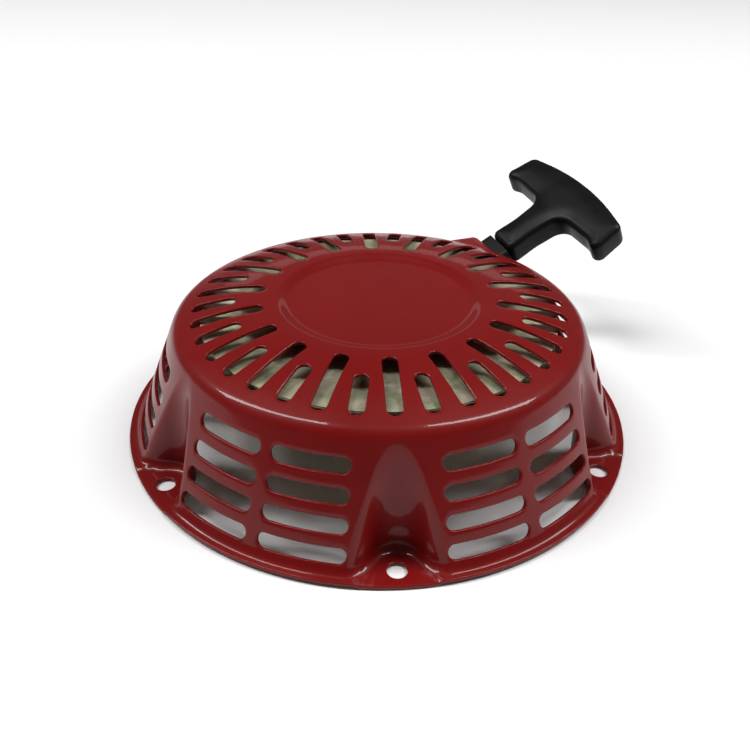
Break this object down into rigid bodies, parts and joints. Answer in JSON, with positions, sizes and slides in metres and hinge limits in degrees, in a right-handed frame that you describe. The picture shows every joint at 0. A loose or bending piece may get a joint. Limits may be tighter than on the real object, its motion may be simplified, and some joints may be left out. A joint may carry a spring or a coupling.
{
  "type": "recoil starter",
  "caption": "Pull starter in a domed, louvred pressed steel housing with a bolt flange, a sprung rope reel with ratchet pawls, and a T handle.",
  "frame": {"origin": "centre of the bolt circle on the flange's mounting face", "axes": "+Z along the reel's axis, away from the engine through the domed top; one bolt hole lies on -Y"},
  "size_m": [0.2541, 0.2514, 0.0863],
  "materials": {
    "housing_paint": "glossy baked enamel over pressed steel",
    "zinc_steel": "yellow-green zinc chromate on pressed steel",
    "bright_steel": "turned or cold headed, zinc plated",
    "hard_steel": "case hardened, dark",
    "spring_steel": "blue tempered, oiled",
    "bush_bronze": "sintered bronze",
    "eyelet_chrome": "polished",
    "rope_nylon": "braided nylon with a dark tracer",
    "guide_plastic": "moulded, satin",
    "cam_plastic": "glass filled nylon",
    "grip_rubber": "moulded, satin"
  },
  "bodies": {
    "housing_body": {"housing": "housing_paint", "hub_plate": "zinc_steel", "hub_post": "bright_steel", "guide_collar": "bright_steel", "centre_washer": "bright_steel", "centre_screw": "bright_steel", "rope_guide": "guide_plastic", "rope_eyelet": "eyelet_chrome"},
    "reel_body": {"reel_upper": "zinc_steel", "reel_lower": "zinc_steel", "reel_rivets": "bright_steel", "reel_boss": "bright_steel", "reel_bush": "bush_bronze", "recoil_spring": "spring_steel", "rope_coil": "rope_nylon", "rope_anchor_knot": "rope_nylon", "pawl_pins": "bright_steel", "pawl_spring_a": "spring_steel", "pawl_spring_b": "spring_steel"},
    "cam_body": {"cam_plate": "cam_plastic", "friction_spring": "spring_steel"},
    "pawl_a_body": {"pawl_a": "hard_steel"},
    "pawl_b_body": {"pawl_b": "hard_steel"},
    "handle_body": {"handle_grip": "grip_rubber", "handle_washer": "bright_steel", "handle_knot": "rope_nylon", "handle_cap": "grip_rubber", "rope_run": "rope_nylon"}
  },
  "joints": [
    {"name": "handle_pull", "type": "slide", "parent": "housing_body", "child": "handle_body", "axis": [0.8351, 0.2601, 0.4848], "range_m": [0, 1.5], "deforming": ["rope_run"]},
    {"name": "reel_spin", "type": "hinge", "parent": "housing_body", "child": "reel_body", "pos_m": [0, 0, 0.045], "axis": [0, 0, -1], "range_deg": [0, 1745], "stiffness_Nm_per_rad": 0.03, "springref_deg": -687.55, "deforming": ["recoil_spring"]},
    {"name": "cam_turn", "type": "hinge", "parent": "reel_body", "child": "cam_body", "pos_m": [0, 0, 0.0324], "axis": [0, 0, 1], "range_deg": [0, 36], "stiffness_Nm_per_rad": 0.02, "springref_deg": -17.19},
    {"name": "pawl_a_swing", "type": "hinge", "parent": "reel_body", "child": "pawl_a_body", "pos_m": [0.022, 0, 0.0382], "axis": [0, 0, 1], "range_deg": [0, 40]},
    {"name": "pawl_b_swing", "type": "hinge", "parent": "reel_body", "child": "pawl_b_body", "pos_m": [-0.022, 0, 0.0382], "axis": [0, 0, 1], "range_deg": [0, 40]}
  ],
  "couplings": [
    {"joint": "reel_spin", "follows": "handle_pull", "rad_per_m": 20.28},
    {"joint": "pawl_a_swing", "follows": "cam_turn", "ratio": 1.1111},
    {"joint": "pawl_b_swing", "follows": "cam_turn", "ratio": 1.1111}
  ]
}
